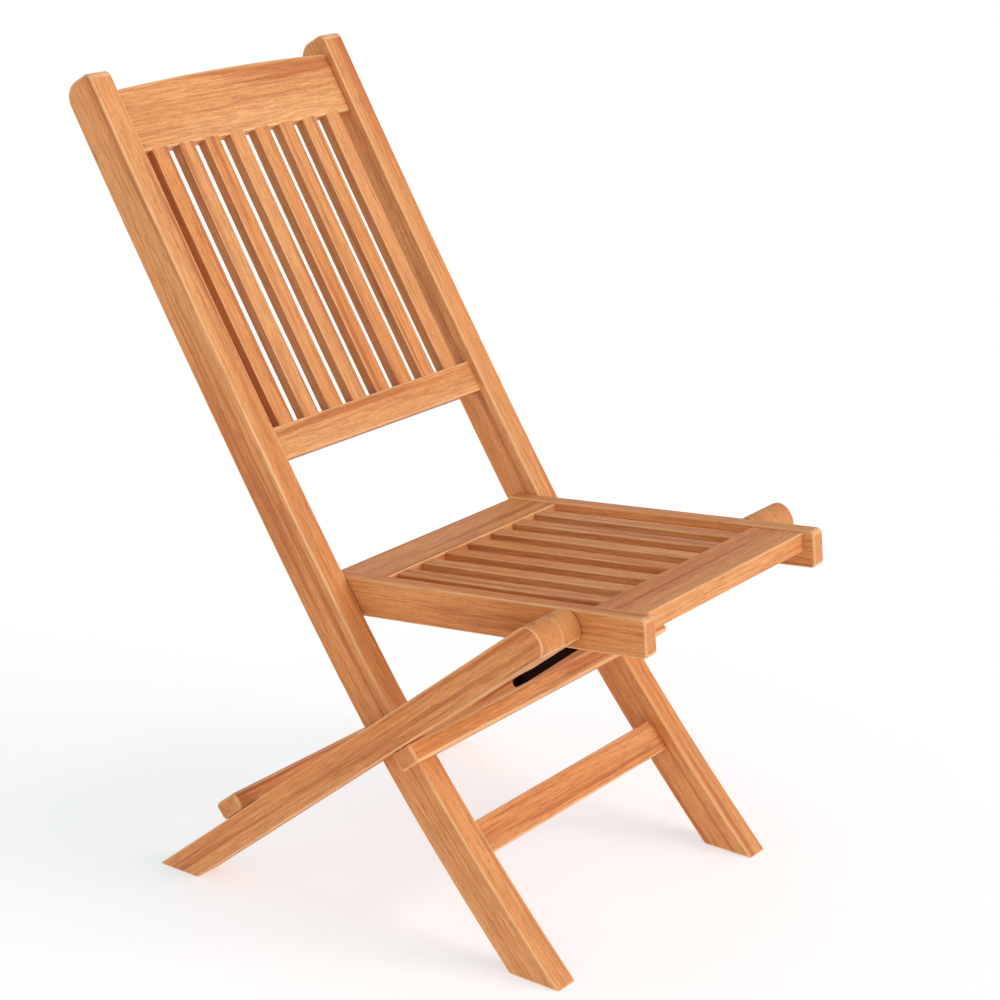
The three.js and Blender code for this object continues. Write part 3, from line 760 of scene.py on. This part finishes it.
def makeSlatRow():
    tree = bpy.data.node_groups.new("slatRow", "GeometryNodeTree")
    tree.is_modifier = True
    sockets = [("Path", "NodeSocketGeometry"), ("Count", "NodeSocketInt"), ("Pitch", "NodeSocketFloat"),
               ("Width", "NodeSocketFloat"), ("Thickness", "NodeSocketFloat"),
               ("Rounding", "NodeSocketFloat"), ("Seed", "NodeSocketInt"),
               ("Finish", "NodeSocketMaterial")]
    for name, kind in sockets:
        tree.interface.new_socket(name, in_out="INPUT", socket_type=kind)
    tree.interface.new_socket("Slats", in_out="OUTPUT", socket_type="NodeSocketGeometry")
    given, result = tree.nodes.new("NodeGroupInput"), tree.nodes.new("NodeGroupOutput")
    link = tree.links.new

    def node(kind, **settings):
        made = tree.nodes.new(kind)
        for key, value in settings.items():
            setattr(made, key, value)
        return made

    path = node("GeometryNodeMeshToCurve")
    link(given.outputs["Path"], path.inputs[0])
    upright = node("GeometryNodeSetCurveNormal", mode="Z_UP")
    link(path.outputs[0], upright.inputs[0])
    length = node("GeometryNodeSplineParameter")
    keepLength = node("GeometryNodeCaptureAttribute")
    keepLength.capture_items.new("FLOAT", "along")
    link(upright.outputs[0], keepLength.inputs[0])
    link(length.outputs["Length"], keepLength.inputs[1])
    section = node("GeometryNodeCurvePrimitiveQuadrilateral")
    link(given.outputs["Width"], section.inputs["Width"])
    link(given.outputs["Thickness"], section.inputs["Height"])
    softened = node("GeometryNodeFilletCurve", mode="POLY")
    link(section.outputs[0], softened.inputs["Curve"])
    link(given.outputs["Rounding"], softened.inputs["Radius"])
    softened.inputs["Count"].default_value = softenForm["slatSteps"]
    keepSection = node("GeometryNodeCaptureAttribute")
    keepSection.capture_items.new("VECTOR", "section")
    link(softened.outputs[0], keepSection.inputs[0])
    link(node("GeometryNodeInputPosition").outputs[0], keepSection.inputs[1])
    body = node("GeometryNodeCurveToMesh")
    link(keepLength.outputs[0], body.inputs["Curve"])
    link(keepSection.outputs[0], body.inputs["Profile Curve"])
    body.inputs["Fill Caps"].default_value = True
    parts = node("ShaderNodeSeparateXYZ")
    link(keepSection.outputs[1], parts.inputs[0])
    grain = node("ShaderNodeCombineXYZ")
    link(keepLength.outputs[1], grain.inputs[0])
    link(parts.outputs[0], grain.inputs[1])
    link(parts.outputs[1], grain.inputs[2])
    grained = node("GeometryNodeStoreNamedAttribute", data_type="FLOAT_VECTOR", domain="POINT")
    grained.inputs["Name"].default_value = "grain"
    link(body.outputs[0], grained.inputs["Geometry"])
    link(grain.outputs[0], grained.inputs["Value"])

    gaps = node("ShaderNodeMath", operation="SUBTRACT")
    link(given.outputs["Count"], gaps.inputs[0])
    gaps.inputs[1].default_value = 1
    reach = node("ShaderNodeMath", operation="MULTIPLY")
    link(gaps.outputs[0], reach.inputs[0])
    link(given.outputs["Pitch"], reach.inputs[1])
    start = node("ShaderNodeMath", operation="MULTIPLY")
    link(reach.outputs[0], start.inputs[0])
    start.inputs[1].default_value = -0.5
    startAt, stepBy = node("ShaderNodeCombineXYZ"), node("ShaderNodeCombineXYZ")
    link(start.outputs[0], startAt.inputs[0])
    link(given.outputs["Pitch"], stepBy.inputs[0])
    places = node("GeometryNodeMeshLine", mode="OFFSET")
    link(given.outputs["Count"], places.inputs["Count"])
    link(startAt.outputs[0], places.inputs["Start Location"])
    link(stepBy.outputs[0], places.inputs["Offset"])
    row = node("GeometryNodeInstanceOnPoints")
    link(places.outputs[0], row.inputs["Points"])
    link(grained.outputs[0], row.inputs["Instance"])

    shift = node("FunctionNodeRandomValue", data_type="FLOAT_VECTOR")
    shift.inputs[1].default_value = shiftReach
    tone = node("FunctionNodeRandomValue", data_type="FLOAT")
    tone.inputs[2].default_value, tone.inputs[3].default_value = slatTones
    link(given.outputs["Seed"], shift.inputs["Seed"])
    link(given.outputs["Seed"], tone.inputs["Seed"])
    shifted = node("GeometryNodeStoreNamedAttribute", data_type="FLOAT_VECTOR", domain="INSTANCE")
    shifted.inputs["Name"].default_value = "grainShift"
    link(row.outputs[0], shifted.inputs["Geometry"])
    link(shift.outputs[0], shifted.inputs["Value"])
    toned = node("GeometryNodeStoreNamedAttribute", data_type="FLOAT", domain="INSTANCE")
    toned.inputs["Name"].default_value = "tone"
    link(shifted.outputs[0], toned.inputs["Geometry"])
    link(tone.outputs[1], toned.inputs["Value"])
    realized = node("GeometryNodeRealizeInstances")
    link(toned.outputs[0], realized.inputs[0])
    finish = node("GeometryNodeSetMaterial")
    link(realized.outputs[0], finish.inputs["Geometry"])
    link(given.outputs["Finish"], finish.inputs["Material"])
    link(finish.outputs[0], result.inputs[0])
    return tree


# The middle line of each row's slats, from one rail into the other.
def slatPaths():
    low, crestTop = railForms["lumbar_rail"]["topZ"], railForms["crest_rail"]
    high = crestTop["topZ"] - crestTop["high"] * math.cos(leanAt(crestTop["topZ"]))
    behind = {name: form["setback"] + form["thick"] / 2 for name, form in slatRows.items()}
    back = behind["back_slats"]
    backPath = [stileFrame(low)(back, -sunk)]
    backPath += [stileFrame(low + (high - low) * i / 10)(back, 0) for i in range(1, 10)]
    backPath.append(stileFrame(high)(back, sunk))
    rear, front = crossForms["seat_rear_rail"]["to"], crossForms["seat_front_rail"]["from"]
    middle = -behind["seat_slats"]
    seatPath = [seatFrame(rear + (front - rear) * i / 4 + (sunk * (i - 2) / 2), middle) for i in range(5)]
    return {"back_slats": backPath, "seat_slats": seatPath}


slatRow = makeSlatRow()
paths = slatPaths()
for name, form in slatRows.items():
    points = [(0, y * mm, z * mm) for y, z in paths[name]]
    mesh = bpy.data.meshes.new(name)
    mesh.from_pydata(points, [(i, i + 1) for i in range(len(points) - 1)], [])
    piece = asObject(name, mesh)
    row = piece.modifiers.new("row", "NODES")
    row.node_group = slatRow
    sizes = {"Count": form["count"], "Pitch": form["pitch"] * mm, "Width": form["wide"] * mm,
             "Thickness": form["thick"] * mm, "Rounding": form["round"] * mm, "Seed": form["seed"],
             "Finish": teak}
    for item in slatRow.interface.items_tree:
        if item.in_out == "INPUT" and item.name in sizes:
            row[item.identifier] = sizes[item.name]
    mesh = settle(piece)
    reshape(mesh, turnOutwards)
    putAttribute(mesh, "endGrain", "FLOAT", "FACE", [0.0] * len(mesh.polygons))
    # Side faces of the slats are marked for the painted shade between them.
    putAttribute(mesh, "flankShade", "FLOAT", "FACE", [abs(f.normal.x) > flankSlope for f in mesh.polygons])
    markEdges(mesh, mm)
    evenShading(piece)
    node = name[:-1]
    finishPiece(piece, form["body"], [f"{node}_{i + 1}" for i in range(form["count"])])
    print(name, len(piece.data.polygons), "faces")


for part in frame["record"]["subparts"]:
    if part["material_slot"] in finishes:
        mesh = frame["nodes"][part["node"]].data
        mesh.materials.clear()
        mesh.materials.append(finishes[part["material_slot"]])


studio = {
    "floorReach": 14.0,
    "floorRough": 0.9,
    "floorShine": 0.1,
    "floor": (0.95, 0.70, 0.63),  # with its glow it reads white, and its shade stays grey beside warm wood
    "floorGlow": (0.235, 0.445, 0.505),
    "backdrop": 1.1,
    "skyLow": 0.90,
    "skyHigh": 0.50,
    "skyTop": 0.9,
    "aim": (0, 0, 0.4),
    "key": {"power": 1.45, "softness": 42.0, "at": (1.1, -3.3, 2.0)},
    "fill": {"power": 0.22, "softness": 60.0, "at": (-3.6, -0.6, 2.0)},
}


def makeFloor():
    mesh = bpy.data.meshes.new("floor")
    wide = studio["floorReach"]
    corners = [(-wide, -wide, 0), (wide, -wide, 0), (wide, wide, 0), (-wide, wide, 0)]
    mesh.from_pydata(corners, [], [(0, 1, 2, 3)])
    floor = asObject("floor", mesh)
    material, tree, shader = newFinish("paleFloor")
    shader.inputs["Base Color"].default_value = (*studio["floor"], 1)
    shader.inputs["Roughness"].default_value = studio["floorRough"]
    shader.inputs["Specular IOR Level"].default_value = studio["floorShine"]
    shader.inputs["Emission Color"].default_value = (*studio["floorGlow"], 1)
    shader.inputs["Emission Strength"].default_value = 1.0
    mesh.materials.append(material)


def makeSky():
    world = bpy.data.worlds.new("studio")
    world.use_nodes = True
    tree = world.node_tree
    background = tree.nodes["Background"]
    background.inputs["Color"].default_value = (1, 1, 1, 1)
    direction = tree.nodes.new("ShaderNodeSeparateXYZ")
    tree.links.new(tree.nodes.new("ShaderNodeTexCoord").outputs["Generated"], direction.inputs[0])
    sky = spread(tree, direction.outputs["Z"], 0.0, studio["skyTop"], studio["skyLow"], studio["skyHigh"])
    seen = tree.nodes.new("ShaderNodeLightPath")
    backdrop = workOut(tree, "MULTIPLY", seen.outputs["Is Camera Ray"], studio["backdrop"])
    tree.links.new(workOut(tree, "MAXIMUM", sky, backdrop), background.inputs["Strength"])
    scene.world = world


def makeLamp(name, lamp):
    light = bpy.data.lights.new(name, "SUN")
    light.energy = lamp["power"]
    light.angle = math.radians(lamp["softness"])
    holder = bpy.data.objects.new(name, light)
    scene.collection.objects.link(holder)
    holder.location = lamp["at"]
    aim = Vector(studio["aim"]) - Vector(lamp["at"])
    holder.rotation_euler = aim.to_track_quat("-Z", "Y").to_euler()


cameraForm = {
    "at": (-2.1398, -1.6094, 1.3180),
    "yaw": 53.907,
    "pitch": -18.097,
    "roll": 0.769,
    "lens": 90.709,
    "shift": (0.0087, -0.0158),
}


def makeCamera():
    yaw, pitch, roll = (math.radians(cameraForm[key]) for key in ("yaw", "pitch", "roll"))
    ahead = Vector((math.sin(yaw) * math.cos(pitch), math.cos(yaw) * math.cos(pitch), math.sin(pitch)))
    right = Vector((math.cos(yaw), -math.sin(yaw), 0))
    up = right.cross(ahead)
    turnedRight = right * math.cos(roll) + up * math.sin(roll)
    turnedUp = up * math.cos(roll) - right * math.sin(roll)
    data = bpy.data.cameras.new("camera")
    data.lens = cameraForm["lens"]
    data.sensor_width = 36.0
    data.shift_x, data.shift_y = cameraForm["shift"]
    camera = bpy.data.objects.new("camera", data)
    scene.collection.objects.link(camera)
    turn = Matrix((turnedRight, turnedUp, -ahead)).transposed()
    camera.matrix_world = Matrix.Translation(cameraForm["at"]) @ turn.to_4x4()
    scene.camera = camera


makeFloor()
makeSky()
makeLamp("key", studio["key"])
makeLamp("fill", studio["fill"])
makeCamera()
scene.view_settings.view_transform = "Standard"
print("studio made")
